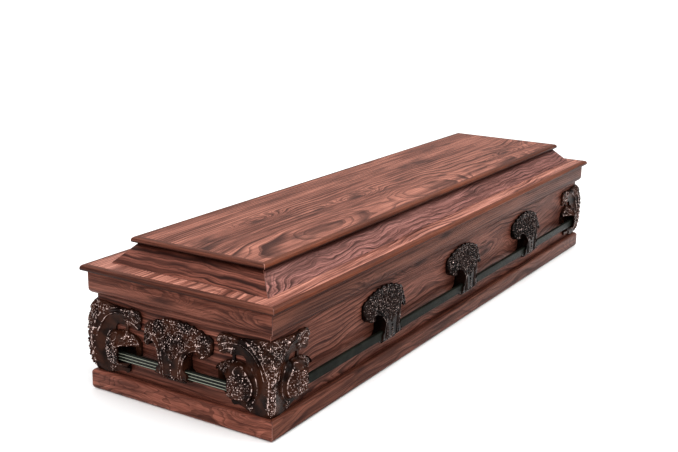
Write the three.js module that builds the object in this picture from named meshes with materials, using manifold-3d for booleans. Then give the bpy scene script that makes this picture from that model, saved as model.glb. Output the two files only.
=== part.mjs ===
// Wooden coffin with a raised lid, mitred plinth and fascia, and cast fittings with carrying bars.
// Millimetres, +Z up, +X along the coffin. The origin is on the floor under the middle.
import * as THREE from 'three';
import { mergeVertices } from 'three/addons/utils/BufferGeometryUtils.js';
import Module from 'manifold-3d';

const wasm = await Module();
wasm.setup();

// Body: the box of boards
const bodyLength = 2000;
const bodyWidth = 537;
const wallHeight = 301.2;
const wallThickness = 18;
const baseThickness = 18;
const fit = 0.3;

// Boards planted on the outside of the body
const plinthHeight = 54;
const plinthThickness = 16;
const plinthRounding = 10;
const fasciaHeight = 60;
const fasciaThickness = 16;
const fasciaRounding = 13;

// Lid
const noseSmallRadius = 3;
const noseLargeRadius = 9;
const ledgeThickness = 15;
const ledgeOverhang = 30;
const ledgeFrameWidth = 84;
const slopeInset = 26;
const slopeHeight = 52;
const slopeLean = 51;
const slopeBoardWidth = 20;
const topThickness = 14;
const topOverhang = 16;

// Carrying bars
const barHeight = 24;
const barThickness = 10;
const barStandOff = 21;
const fluteCount = 3;
const fluteDepth = 2;
const barEdgeRounding = 3;

// Castings: their own heights, reaches and depths, with all carving as shares of these
const castingDrop = 16;
const cornerReach = 150;
const cornerDepth = 43;
const cupLevel = 0.39;
const barBelowCup = 10.1;
const cupBack = 2;
const cupMouth = 98;
const cupHeadroom = 17;
const cupLegroom = 5;
const cupBarRoom = 3;
const barEndInset = 66;
const bossLength = 16;
const middleReach = 106;
const middleDepth = 40;
const middleFootBelowBar = 27.5;
const middleDrop = 3;
const sideCastingSpacing = 490;
const sideCastingCount = 3;
const arcSteps = 4;

// Heights and half sizes worked out from the sizes above
const wallBottom = baseThickness + fit;
const bodyTop = wallBottom + wallHeight;
const halfLength = bodyLength / 2;
const halfWidth = bodyWidth / 2;
const fasciaBottom = bodyTop - fasciaHeight;
const ledgeBottom = bodyTop + fit;
const ledgeTop = ledgeBottom + ledgeThickness;
const slopeBottom = ledgeTop + fit;
const slopeTop = slopeBottom + slopeHeight;
const topBottom = slopeTop + fit;
const neckInset = slopeInset + slopeLean;
const mitreGap = fit * Math.SQRT1_2;
const castingBottom = plinthHeight + fit;
const castingTop = fasciaBottom - castingDrop;
const cornerHeight = castingTop - castingBottom;
const barAboveFloor = castingBottom + cupLevel * cornerHeight - barBelowCup;
const middleTop = castingTop - middleDrop;
const middleBottom = barAboveFloor - middleFootBelowBar;
const middleHeight = middleTop - middleBottom;
const barBottom = barAboveFloor - barHeight / 2;
const barTop = barAboveFloor + barHeight / 2;
const barFront = barStandOff + barThickness;

// Materials
function finish(color, roughness, metalness = 0) {
  return new THREE.MeshStandardMaterial({ color, roughness, metalness });
}
const panelWood = finish(0x8a4a38, 0.4);
const mouldingWood = finish(0x7d4130, 0.4);
const lidWood = finish(0x95503c, 0.38);
const castLacquer = finish(0x2a1b16, 0.3, 0.2);
const barMetal = finish(0x2c332f, 0.35, 0.6);

const coffin = new THREE.Group();

function addMesh(parent, name, geometry, material) {
  const mesh = new THREE.Mesh(geometry, material);
  mesh.name = name;
  parent.add(mesh);
  return mesh;
}

// Closed geometry from a list of corners and triangles, turned so that its faces point out.
function closedGeometry(points, triangles) {
  let volume = 0;
  for (const [a, b, c] of triangles) {
    volume += points[a].dot(points[b].clone().cross(points[c]));
  }
  const outward = volume > 0 ? triangles : triangles.map(([a, b, c]) => [a, c, b]);
  const geometry = new THREE.BufferGeometry();
  const positions = points.flatMap((point) => point.toArray());
  geometry.setAttribute('position', new THREE.Float32BufferAttribute(positions, 3));
  geometry.setIndex(outward.flat());
  return geometry;
}

// A solid through sections with equally many points. An open one gets a cap on both ends, cut
// into triangles by the flat outline of its section.
function loft(sections, capOutline = null) {
  const count = sections[0].length;
  const closed = capOutline === null;
  const spans = closed ? sections.length : sections.length - 1;
  const triangles = [];
  for (let i = 0; i < spans; i++) {
    const here = i * count;
    const next = ((i + 1) % sections.length) * count;
    for (let j = 0; j < count; j++) {
      const k = (j + 1) % count;
      triangles.push([here + j, next + j, next + k], [here + j, next + k, here + k]);
    }
  }
  if (!closed) {
    const last = (sections.length - 1) * count;
    for (const [a, b, c] of THREE.ShapeUtils.triangulateShape(capOutline, [])) {
      triangles.push([a, b, c], [last + a, last + c, last + b]);
    }
  }
  return closedGeometry(sections.flat(), triangles);
}

function boxBetween(x0, x1, y0, y1, z0, z1) {
  const box = new THREE.BoxGeometry(x1 - x0, y1 - y0, z1 - z0);
  return box.translate((x0 + x1) / 2, (y0 + y1) / 2, (z0 + z1) / 2);
}

// Profiles of boards: x is the distance out from the body's face, y the height.
function arc(centreX, centreY, radius, from, to, steps = arcSteps) {
  const points = [];
  for (let i = 0; i <= steps; i++) {
    const angle = from + ((to - from) * i) / steps;
    points.push(new THREE.Vector2(centreX + radius * Math.cos(angle), centreY + radius * Math.sin(angle)));
  }
  return points;
}

// A board standing on its edge, with its outer corners rounded where a radius is given.
function boardProfile(inner, outer, bottom, top, bottomRadius, topRadius) {
  const quarter = Math.PI / 2;
  const points = [new THREE.Vector2(inner, top), new THREE.Vector2(inner, bottom)];
  if (bottomRadius > 0) {
    points.push(...arc(outer - bottomRadius, bottom + bottomRadius, bottomRadius, -quarter, 0));
  } else {
    points.push(new THREE.Vector2(outer, bottom));
  }
  if (topRadius > 0) {
    points.push(...arc(outer - topRadius, top - topRadius, topRadius, 0, quarter));
  } else {
    points.push(new THREE.Vector2(outer, top));
  }
  return points;
}

// The moulded nose of a flat board, from its underside to its top: a small round and a large one.
function noseProfile(outer, bottom, thickness) {
  const small = noseSmallRadius;
  const large = noseLargeRadius;
  return [
    ...arc(outer - small, bottom + small, small, -Math.PI / 2, 0, 2),
    ...arc(outer - large, bottom + thickness - large, large, 0, Math.PI / 2),
  ];
}

// One board of a mitred frame round a rectangle. Its section follows the profile, and both of
// its ends are cut at 45 degrees.
function mitredBoard(profile, halfAlong, halfAcross) {
  const sections = [-1, 1].map((end) => profile.map((point) => new THREE.Vector3(
    end * (halfAlong + point.x - mitreGap),
    -(halfAcross + point.x),
    point.y,
  )));
  return loft(sections, profile);
}

function cornersOfRectangle(alongX, alongY, height) {
  const signs = [[-1, -1], [1, -1], [1, 1], [-1, 1]];
  return signs.map(([sx, sy]) => new THREE.Vector3(sx * alongX, sy * alongY, height));
}

function addMitredFrame(baseName, profile, material) {
  const places = [
    ['front', 0, halfLength, halfWidth],
    ['foot', -Math.PI / 2, halfWidth, halfLength],
    ['back', Math.PI, halfLength, halfWidth],
    ['head', Math.PI / 2, halfWidth, halfLength],
  ];
  for (const [side, turn, halfAlong, halfAcross] of places) {
    const board = addMesh(coffin, `${baseName}_${side}`, mitredBoard(profile, halfAlong, halfAcross), material);
    board.rotation.z = turn;
  }
}

// Body
function addBody() {
  addMesh(coffin, 'base_board', boxBetween(
    -halfLength, halfLength, -halfWidth, halfWidth, 0, baseThickness,
  ), panelWood);
  const wall = boardProfile(-wallThickness, 0, wallBottom, bodyTop, 0, 0);
  addMitredFrame('wall', wall, panelWood);
  const plinth = boardProfile(fit, plinthThickness, 0, plinthHeight, plinthRounding, plinthRounding);
  addMitredFrame('plinth', plinth, mouldingWood);
  const fascia = boardProfile(fit, fasciaThickness, fasciaBottom, bodyTop, fasciaRounding, 0);
  addMitredFrame('fascia', fascia, mouldingWood);
}

// Lid
function addLid() {
  const nose = noseProfile(ledgeOverhang, ledgeBottom, ledgeThickness);
  const inner = ledgeOverhang - ledgeFrameWidth;
  const ring = [new THREE.Vector2(inner, ledgeTop), new THREE.Vector2(inner, ledgeBottom), ...nose];
  const corners = cornersOfRectangle(1, 1, 0);
  const sections = corners.map((corner) => ring.map((point) => new THREE.Vector3(
    corner.x * (halfLength + point.x),
    corner.y * (halfWidth + point.x),
    point.y,
  )));
  addMesh(coffin, 'lid_ledge', loft(sections), lidWood);

  const slope = [
    new THREE.Vector2(-neckInset - slopeBoardWidth, slopeTop),
    new THREE.Vector2(-slopeInset - slopeBoardWidth, slopeBottom),
    new THREE.Vector2(-slopeInset, slopeBottom),
    new THREE.Vector2(-neckInset, slopeTop),
  ];
  addMitredFrame('lid_slope', slope, lidWood);

  const topNose = noseProfile(topOverhang - neckInset, topBottom, topThickness);
  const levels = topNose.map((point) => cornersOfRectangle(halfLength + point.x, halfWidth + point.x, point.y));
  addMesh(coffin, 'lid_top', loft(levels, cornersOfRectangle(1, 1, 0)), lidWood);
}

// Solids for joins and cuts
function toSolid(geometry) {
  const bare = geometry.clone();
  bare.deleteAttribute('normal');
  bare.deleteAttribute('uv');
  const merged = mergeVertices(bare);
  return new wasm.Manifold(new wasm.Mesh({
    numProp: 3,
    vertProperties: new Float32Array(merged.attributes.position.array),
    triVerts: new Uint32Array(merged.index.array),
  }));
}

function toGeometry(solid) {
  const mesh = solid.getMesh();
  const geometry = new THREE.BufferGeometry();
  geometry.setAttribute('position', new THREE.BufferAttribute(mesh.vertProperties, 3));
  geometry.setIndex(new THREE.BufferAttribute(mesh.triVerts, 1));
  return geometry;
}

// Castings are drawn on a face of the body: s runs along the face, z up, and the depth stands out
// from the face. In the casting's own frame that is x, z and -y.
function outlinePrism(shape, depth) {
  const prism = new THREE.ExtrudeGeometry(shape, { depth, bevelEnabled: false, curveSegments: 3 });
  return toSolid(prism.rotateX(Math.PI / 2));
}

// A block with a carved front. Columns are places along the face, each with the spot where it
// meets the face and the direction in which it stands out. Its back lies inside the body.
function carvedBlock(columns, rows, depthAt) {
  const points = [];
  for (const { share, base, direction } of columns) {
    for (const z of rows) {
      points.push(base.clone().addScaledVector(direction, depthAt(share, z)).setZ(z));
    }
  }
  const high = rows.length;
  const backs = points.length;
  for (const { back } of columns) {
    points.push(back.clone().setZ(rows[0]), back.clone().setZ(rows[high - 1]));
  }
  const triangles = [];
  const last = columns.length - 1;
  for (let i = 0; i < last; i++) {
    const a = i * high;
    const b = a + high;
    for (let j = 0; j < high - 1; j++) {
      triangles.push([a + j, b + j, b + j + 1], [a + j, b + j + 1, a + j + 1]);
    }
    const low = backs + 2 * i;
    const top = a + high - 1;
    triangles.push([low, low + 1, low + 3], [low, low + 3, low + 2]);
    triangles.push([a, low, low + 2], [a, low + 2, b]);
    triangles.push([top, top + high, low + 3], [top, low + 3, low + 1]);
  }
  for (const [i, flip] of [[0, false], [last, true]]) {
    const a = i * high;
    const low = backs + 2 * i;
    const fan = [[low, a + high - 1, low + 1]];
    for (let j = 0; j < high - 1; j++) {
      fan.push([low, a + j, a + j + 1]);
    }
    triangles.push(...fan.map(([p, q, r]) => (flip ? [p, r, q] : [p, q, r])));
  }
  return toSolid(closedGeometry(points, triangles));
}

// A list of shares from the middle out, with its mirror image before it.
function mirrored(shares) {
  return [...shares.slice(1).reverse().map((share) => -share), ...shares];
}

function smooth(from, to, value) {
  return THREE.MathUtils.smoothstep(value, from, to);
}

// Corner casting. u is the share of the reach from the corner, w the share of the height.
// The carving is cut along these shares, which lie closest where the form bends most.
const cornerPlaces = [0, 0.07, 0.14, 0.21, 0.28, 0.35, 0.42, 0.49, 0.57, 0.65, 0.8, 1.09];
const cornerLevels = [0, 0.07, 0.13, 0.19, 0.27, 0.37, 0.47, 0.56, 0.62, 0.66, 0.73, 0.81, 0.9, 1];

function cornerOutline() {
  const at = (u, w) => [u * cornerReach, castingBottom + w * cornerHeight];
  const shape = new THREE.Shape();
  shape.moveTo(...at(-0.4, 0));
  shape.lineTo(...at(0.16, 0));
  shape.quadraticCurveTo(...at(0.36, 0.02), ...at(0.58, 0.09));
  shape.lineTo(...at(0.67, 0.06));
  shape.quadraticCurveTo(...at(0.76, 0.1), ...at(0.71, 0.17));
  shape.lineTo(...at(0.83, 0.27));
  shape.lineTo(...at(0.99, 0.36));
  shape.lineTo(...at(0.99, 0.54));
  shape.quadraticCurveTo(...at(0.88, 0.64), ...at(0.7, 0.65));
  shape.lineTo(...at(0.71, 0.73));
  shape.lineTo(...at(0.82, 0.735));
  shape.quadraticCurveTo(...at(0.88, 0.68), ...at(0.95, 0.71));
  shape.quadraticCurveTo(...at(1.01, 0.77), ...at(0.97, 0.81));
  shape.quadraticCurveTo(...at(1.04, 0.87), ...at(0.98, 0.92));
  shape.quadraticCurveTo(...at(0.97, 0.99), ...at(0.86, 0.97));
  shape.quadraticCurveTo(...at(0.78, 1), ...at(0.7, 0.97));
  shape.quadraticCurveTo(...at(0.4, 0.97), ...at(0.2, 1));
  shape.lineTo(...at(-0.4, 1));
  const window = new THREE.Path();
  window.moveTo(...at(0.43, 0.63));
  window.quadraticCurveTo(...at(0.42, 0.71), ...at(0.5, 0.74));
  window.lineTo(...at(0.66, 0.73));
  window.lineTo(...at(0.65, 0.65));
  window.quadraticCurveTo(...at(0.54, 0.67), ...at(0.43, 0.63));
  shape.holes.push(window);
  return shape;
}

// The depth of the corner casting: a round column on the corner between two C-shaped scrolls,
// whose bands sink inwards from their rims, and a domed cup in the lower half of each scroll.
function cornerDepthAt(share, z) {
  const u = Math.abs(share);
  const w = (z - castingBottom) / cornerHeight;
  const column = 0.66 * Math.sqrt(Math.max(0.02, 1 - Math.abs((w - 0.5) / 0.505) ** 2.5));
  const armRim = THREE.MathUtils.lerp(0.56, 0.2, smooth(0.5, 1, u));
  const rim = THREE.MathUtils.lerp(column, armRim, smooth(0.1, 0.5, u));
  const besideMiddle = Math.max(0, 0.633 - u) / 0.635;
  const aboveMiddle = Math.max(0, w - 0.5) / 0.475;
  const scroll = Math.hypot(besideMiddle, aboveMiddle);
  const hollow = THREE.MathUtils.clamp((scroll - 0.62) / 0.38, 0, 1) ** 1.3;
  const floorDepth = w > 0.6 ? 0.14 : 0.23;
  const band = THREE.MathUtils.lerp(floorDepth, rim, hollow);
  return cornerDepth * Math.max(0.12, scroll > 1 ? column : band, cupDepthAt(u, w));
}

function cupDepthAt(u, w) {
  const besideCup = Math.max(0, 0.48 - u) / 0.29;
  const aboveCup = Math.abs(w - cupLevel) / 0.265;
  const round = Math.max(0, 1 - Math.hypot(besideCup, aboveCup) ** 3) ** 0.62;
  const rise = 0.62 + 0.26 * smooth(0.22, 0.43, u) + 0.12 * smooth(0.43, 0.65, u);
  const end = Math.min(1, (1 - u) / 0.347);
  return round * rise * end;
}

// One column of the corner block for each place from one arm's tip round the corner to the other.
// Near the corner the columns lean towards the diagonal.
function cornerColumns() {
  const turnShare = 0.2;
  const inside = wallThickness;
  return mirrored(cornerPlaces).map((share) => {
    const along = Math.abs(share) * cornerReach;
    const lean = Math.max(0, 1 - Math.abs(share) / turnShare) * (Math.PI / 4);
    const onEnd = share < 0;
    return {
      share,
      base: acrossDiagonal(along, 0, onEnd),
      direction: acrossDiagonal(-Math.sin(lean), -Math.cos(lean), onEnd),
      back: acrossDiagonal(along + inside, inside, onEnd),
    };
  });
}

// The other face of the corner is the mirror image across the diagonal.
function acrossDiagonal(x, y, mirror) {
  return mirror ? new THREE.Vector3(y, x, 0) : new THREE.Vector3(x, y, 0);
}

// The hollow of the cup that the bar ends in, with a boss that holds the bar's end.
function cupHollow() {
  const bossStart = barEndInset - fit;
  const hollow = toSolid(boxBetween(
    bossStart + bossLength, cornerReach * 2,
    -(barFront + cupBarRoom), -cupBack, barBottom - cupLegroom, barTop + cupHeadroom,
  ));
  const mouth = toSolid(boxBetween(
    cupMouth, cornerReach * 2, -cornerDepth * 2, -cupBack, barBottom - cupLegroom, barTop + cupHeadroom,
  ));
  const socket = toSolid(boxBetween(
    bossStart, cornerReach, -(barFront + fit), -(barStandOff - fit), barBottom - fit, barTop + fit,
  ));
  return hollow.add(mouth).add(socket);
}

function acrossCorner(solid) {
  return solid.mirror([1, -1, 0]);
}

// What the body takes away from a casting that lies against it.
function bodyCut(fromX) {
  return toSolid(boxBetween(fromX, cornerReach * 2, -fit, cornerReach * 2, 0, bodyTop));
}

function cornerCasting() {
  const rows = cornerLevels.map((w) => castingBottom + w * cornerHeight);
  const block = carvedBlock(cornerColumns(), rows, cornerDepthAt);
  const face = outlinePrism(cornerOutline(), cornerDepth * 2);
  const hollow = cupHollow();
  const outline = face.add(acrossCorner(face));
  return block.intersect(outline).subtract(bodyCut(-fit)).subtract(hollow).subtract(acrossCorner(hollow));
}

// Middle casting: a fan of leaves over two arched arms, on a stem that holds the bar. t is the
// share of the reach from the middle, w the share of the height.
const middlePlaces = [0, 0.12, 0.25, 0.37, 0.49, 0.62, 0.76, 0.9, 1.07];
const middleLevels = [0, 0.07, 0.14, 0.3, 0.44, 0.52, 0.61, 0.7, 0.79, 0.89, 1.05];

function middleOutline() {
  const shape = new THREE.Shape();
  const right = [
    [0.3, 0], [0.42, 0.06], [0.56, 0.08], [0.52, 0.16], [0.38, 0.24], [0.36, 0.42], [0.46, 0.56],
    [0.62, 0.62], [0.7, 0.59], [0.74, 0.52], [0.87, 0.505], [0.97, 0.57], [1, 0.7], [0.99, 0.82],
  ];
  const leaves = 5;
  const place = (t, w) => [t * middleReach, middleBottom + w * middleHeight];
  shape.moveTo(...place(-right[0][0], right[0][1]));
  for (const [t, w] of right) {
    shape.lineTo(...place(t, w));
  }
  const fanEdge = (t) => 1 - 0.18 * t ** 2;
  for (let i = 0; i < 2 * leaves - 1; i++) {
    const from = 0.99 - (1.98 * i) / (2 * leaves - 1);
    const to = 0.99 - (1.98 * (i + 1)) / (2 * leaves - 1);
    const tip = (from + to) / 2;
    shape.lineTo(...place(tip, fanEdge(tip) + 0.01));
    shape.lineTo(...place(to, fanEdge(to) - 0.02));
  }
  for (const [t, w] of right.slice(1).reverse()) {
    shape.lineTo(...place(-t, w));
  }
  return shape;
}

function middleDepthAt(share, z) {
  const t = Math.abs(share);
  const w = (z - middleBottom) / middleHeight;
  const across = Math.sqrt(Math.max(0.05, 1 - t ** 4 / 1.2));
  const canopy = (0.22 + 0.74 * (1 - smooth(0.45, 1, w))) * across;
  const leafFlute = 0.04 * Math.cos(Math.atan2(share, Math.max(0.05, w - 0.2)) * 9);
  const stem = t < 0.45 ? 0.62 + 0.38 * smooth(0, 0.14, w) : 0.8;
  return middleDepth * Math.max(0.1, w > 0.45 ? canopy + leafFlute * smooth(0.45, 0.7, w) : stem);
}

function middleCasting() {
  const columns = mirrored(middlePlaces).map((share) => ({
    share,
    base: new THREE.Vector3(share * middleReach, 0, 0),
    back: new THREE.Vector3(share * middleReach, wallThickness, 0),
    direction: new THREE.Vector3(0, -1, 0),
  }));
  const rows = middleLevels.map((w) => middleBottom + w * middleHeight);
  const block = carvedBlock(columns, rows, middleDepthAt);
  const slot = toSolid(boxBetween(
    -middleReach, middleReach, -(barFront + fit), -(barStandOff - fit), barBottom - fit, barTop + fit,
  ));
  const outline = outlinePrism(middleOutline(), middleDepth * 2);
  return block.intersect(outline).subtract(bodyCut(-middleReach * 2)).subtract(slot);
}

// Bars
function flutedSection() {
  const pitch = barHeight / fluteCount;
  const front = -barFront;
  const outline = [new THREE.Vector2(-barStandOff, barBottom), new THREE.Vector2(-barStandOff, barTop)];
  for (let i = 0; i < fluteCount; i++) {
    const top = barTop - i * pitch;
    outline.push(new THREE.Vector2(front + fluteDepth, top));
    outline.push(new THREE.Vector2(front, top - pitch * 0.3));
    outline.push(new THREE.Vector2(front, top - pitch * 0.7));
  }
  outline.push(new THREE.Vector2(front + fluteDepth, barBottom));
  return outline;
}

function plainSection() {
  const front = -barFront;
  return [
    new THREE.Vector2(-barStandOff, barBottom),
    new THREE.Vector2(-barStandOff, barTop),
    new THREE.Vector2(front + barEdgeRounding, barTop),
    new THREE.Vector2(front, barTop - barEdgeRounding),
    new THREE.Vector2(front, barBottom + barEdgeRounding),
    new THREE.Vector2(front + barEdgeRounding, barBottom),
  ];
}

function bar(section, halfAlong) {
  const barHalf = halfAlong - barEndInset;
  const ends = [-barHalf, barHalf].map((x) => section.map((point) => new THREE.Vector3(x, point.x, point.y)));
  return loft(ends, section);
}

function addFittings() {
  const corner = toGeometry(cornerCasting());
  const corners = [
    ['front_foot', -1, -1, 0],
    ['front_head', 1, -1, Math.PI / 2],
    ['back_head', 1, 1, Math.PI],
    ['back_foot', -1, 1, -Math.PI / 2],
  ];
  for (const [place, sx, sy, turn] of corners) {
    const mesh = addMesh(coffin, `corner_casting_${place}`, corner, castLacquer);
    mesh.position.set(sx * halfLength, sy * halfWidth, 0);
    mesh.rotation.z = turn;
  }
  const middle = toGeometry(middleCasting());
  const sides = [
    ['front', 0, halfWidth, halfLength, sideCastingCount, plainSection()],
    ['head', Math.PI / 2, halfLength, halfWidth, 1, flutedSection()],
    ['back', Math.PI, halfWidth, halfLength, sideCastingCount, plainSection()],
    ['foot', -Math.PI / 2, halfLength, halfWidth, 1, flutedSection()],
  ];
  for (const [place, turn, out, halfAlong, count, section] of sides) {
    const side = new THREE.Group();
    side.rotation.z = turn;
    coffin.add(side);
    for (let i = 0; i < count; i++) {
      const number = count > 1 ? `_${i + 1}` : '';
      const mesh = addMesh(side, `middle_casting_${place}${number}`, middle, castLacquer);
      mesh.position.set((i - (count - 1) / 2) * sideCastingSpacing, -out, 0);
    }
    const barMesh = addMesh(side, `carrying_bar_${place}`, bar(section, halfAlong), barMetal);
    barMesh.position.y = -out;
  }
}

addBody();
addLid();
addFittings();

export default coffin;
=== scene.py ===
# Wooden coffin with a raised lid and vine-leaf fittings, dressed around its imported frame
import bpy
import bmesh
import numpy as np
from math import radians, pi
from mathutils import Matrix, Vector
from mathutils.bvhtree import BVHTree


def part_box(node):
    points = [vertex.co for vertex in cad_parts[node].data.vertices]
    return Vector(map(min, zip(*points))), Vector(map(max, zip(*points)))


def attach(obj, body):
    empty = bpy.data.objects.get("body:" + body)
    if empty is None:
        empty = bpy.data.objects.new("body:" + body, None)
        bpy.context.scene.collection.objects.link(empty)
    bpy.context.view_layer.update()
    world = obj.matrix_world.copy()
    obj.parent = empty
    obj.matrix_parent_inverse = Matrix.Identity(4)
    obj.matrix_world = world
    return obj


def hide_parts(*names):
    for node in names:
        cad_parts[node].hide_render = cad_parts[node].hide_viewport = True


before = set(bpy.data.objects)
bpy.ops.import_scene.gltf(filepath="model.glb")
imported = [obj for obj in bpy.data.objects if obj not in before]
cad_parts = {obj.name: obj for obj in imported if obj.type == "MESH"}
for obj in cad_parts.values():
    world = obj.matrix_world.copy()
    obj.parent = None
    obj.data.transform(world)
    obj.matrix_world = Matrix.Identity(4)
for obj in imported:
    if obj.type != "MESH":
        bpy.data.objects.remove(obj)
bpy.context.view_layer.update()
mm = 0.001
mergeReach = 0.00001  # points nearer than this are one
print("frame loaded")


# Small helpers for node trees
def link(tree, source, target):
    tree.links.new(source, target)


def put(tree, kind, inputs=None, **settings):
    node = tree.nodes.new(kind)
    for key, value in settings.items():
        setattr(node, key, value)
    for key, value in (inputs or {}).items():
        if isinstance(value, bpy.types.NodeSocket):
            tree.links.new(value, node.inputs[key])
        else:
            node.inputs[key].default_value = value
    return node


def calc(tree, operation, a, b=0.0, c=None):
    inputs = {0: a, 1: b}
    if c is not None:
        inputs[2] = c
    return put(tree, "ShaderNodeMath", inputs, operation=operation).outputs[0]


def combined(tree, operation, a, b):
    return put(tree, "ShaderNodeVectorMath", {0: a, 1: b}, operation=operation).outputs[0]


def noise(tree, vector, scale, detail=2.0, roughness=0.5):
    values = {"Vector": vector, "Scale": scale, "Detail": detail, "Roughness": roughness}
    return put(tree, "ShaderNodeTexNoise", values)


def smoothRange(tree, value, low, high, toLow=0.0, toHigh=1.0):
    values = {"Value": value, "From Min": low, "From Max": high, "To Min": toLow, "To Max": toHigh}
    return put(tree, "ShaderNodeMapRange", values, interpolation_type="SMOOTHSTEP").outputs["Result"]


def patches(tree, vector, values, toLow=0.0, toHigh=1.0):
    # soft noise, stretched or scaled; low and high are the part of its range that is used
    if "stretch" in values:
        vector = combined(tree, "MULTIPLY", vector, values["stretch"])
    detail, roughness = values.get("detail", 2), values.get("roughness", 0.5)
    found = noise(tree, vector, values.get("scale", 1), detail, roughness).outputs["Fac"]
    if "low" not in values:
        return found
    return smoothRange(tree, found, values["low"], values["high"], toLow, toHigh)


def mixColor(tree, share, a, b):
    node = put(tree, "ShaderNodeMix", {"Factor": share}, data_type="RGBA")
    for key, value in ((6, a), (7, b)):
        if isinstance(value, bpy.types.NodeSocket):
            tree.links.new(value, node.inputs[key])
        else:
            node.inputs[key].default_value = (*value, 1)
    return node.outputs[2]


def addSockets(tree, direction, kind, *names):  # a group's inputs or outputs
    for name in names:
        tree.interface.new_socket(name, in_out=direction, socket_type=f"NodeSocket{kind}")


def newMaterial(name):
    material = bpy.data.materials.new(name)
    material.use_nodes = True
    return material, material.node_tree, material.node_tree.nodes["Principled BSDF"]


def addBump(tree, shader, height, strength):
    bump = put(tree, "ShaderNodeBump", {"Height": height, "Distance": 1.0, "Strength": strength})
    link(tree, bump.outputs[0], shader.inputs["Normal"])


def addFinish(tree, shader, place, values):
    # an uneven sheen, the shine and a fine grain
    link(tree, patches(tree, place, values["sheen"], *values["roughness"]), shader.inputs["Roughness"])
    shader.inputs["Specular IOR Level"].default_value = values["shine"]
    grain = calc(tree, "MULTIPLY", patches(tree, place, values["grain"]), values["grainHeight"])
    addBump(tree, shader, grain, values["bump"])


# Camera, worked out from the straight edges in the photograph
cameraPlace = dict(
    spot=(-2.85441, -1.58982, 1.13215), yaw=31.675, pitch=15.075, roll=1.05,
    lens=56.52, sensor=36, farthest=60,
)


def addCamera(values):
    yaw, pitch, roll = (radians(values[k]) for k in ("yaw", "pitch", "roll"))
    ahead = Vector((np.cos(yaw) * np.cos(pitch), np.sin(yaw) * np.cos(pitch), -np.sin(pitch)))
    level = ahead.cross(Vector((0, 0, 1))).normalized()
    upright = level.cross(ahead)
    right = level * np.cos(roll) + upright * np.sin(roll)
    up = upright * np.cos(roll) - level * np.sin(roll)
    data = bpy.data.cameras.new("photoCamera")
    data.lens = values["lens"]
    data.sensor_width = values["sensor"]
    data.clip_end = values["farthest"]
    camera = bpy.data.objects.new("photoCamera", data)
    turn = Matrix((right, up, -ahead)).transposed().to_4x4()
    camera.matrix_world = Matrix.Translation(values["spot"]) @ turn
    bpy.context.scene.collection.objects.link(camera)
    bpy.context.scene.camera = camera


# Studio: a white floor, a sky bright overhead and dim at the horizon, soft lamps and slim bright ones
studio = dict(
    floorSize=160, floorColor=(0.9, 0.9, 0.9), floorRoughness=0.9, floorShine=0.1,
    zenith=1.32, horizon=0.1, climb=0.75, backdrop=1.0,
    lamps=[
        dict(name="topSoftbox", spot=(0.3, -0.9, 2.6), aim=(0, 0, 0.3), size=(3.0, 1.2), power=22),
        dict(name="endStrip", spot=(-3.1, -0.4, 1.5), aim=(-1, 0, 0.2), size=(0.9, 0.09), power=13),
        dict(name="endPoint", spot=(-2.6, -1.7, 2.1), aim=(-1, -0.2, 0.15), size=(0.16, 0.16), power=8),
        dict(name="sideStrip", spot=(-0.6, -3.2, 1.9), aim=(0, -0.3, 0.2), size=(2.6, 0.08), power=14),
        dict(name="farPoint", spot=(1.5, -2.3, 1.5), aim=(0.6, -0.3, 0.15), size=(0.18, 0.18), power=6),
    ],
)


def addStudio(values):
    bpy.ops.mesh.primitive_plane_add(size=values["floorSize"], location=(0, 0, 0))
    floor = bpy.context.object
    floor.name = "studioFloor"
    paint, tree, shader = newMaterial("floorPaint")
    shader.inputs["Base Color"].default_value = (*values["floorColor"], 1)
    shader.inputs["Roughness"].default_value = values["floorRoughness"]
    shader.inputs["Specular IOR Level"].default_value = values["floorShine"]
    floor.data.materials.append(paint)
    world = bpy.data.worlds.new("studioSky")
    world.use_nodes = True
    tree = world.node_tree
    direction = put(tree, "ShaderNodeTexCoord").outputs["Generated"]
    climb = put(tree, "ShaderNodeSeparateXYZ", {0: direction}).outputs["Z"]
    bright = smoothRange(tree, climb, 0.0, values["climb"], values["horizon"], values["zenith"])
    seen = put(tree, "ShaderNodeLightPath").outputs["Is Camera Ray"]  # the sky is seen as a plain backdrop
    change = calc(tree, "SUBTRACT", values["backdrop"], bright)
    strength = calc(tree, "MULTIPLY_ADD", seen, change, bright)
    link(tree, strength, tree.nodes["Background"].inputs["Strength"])
    tree.nodes["Background"].inputs["Color"].default_value = (1, 1, 1, 1)
    bpy.context.scene.world = world
    for lamp in values["lamps"]:
        data = bpy.data.lights.new(lamp["name"], "AREA")
        data.shape = "RECTANGLE"
        data.size, data.size_y = lamp["size"]
        data.energy = lamp["power"]
        holder = bpy.data.objects.new(lamp["name"], data)
        spot = Vector(lamp["spot"])
        aim = (Vector(lamp["aim"]) - spot).to_track_quat("-Z", "Y")
        holder.matrix_world = Matrix.Translation(spot) @ aim.to_matrix().to_4x4()
        bpy.context.scene.collection.objects.link(holder)


bpy.context.scene.view_settings.view_transform = "Standard"
bpy.context.scene.view_settings.look = "Medium High Contrast"
addCamera(cameraPlace)
addStudio(studio)
print("camera and studio placed")


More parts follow.
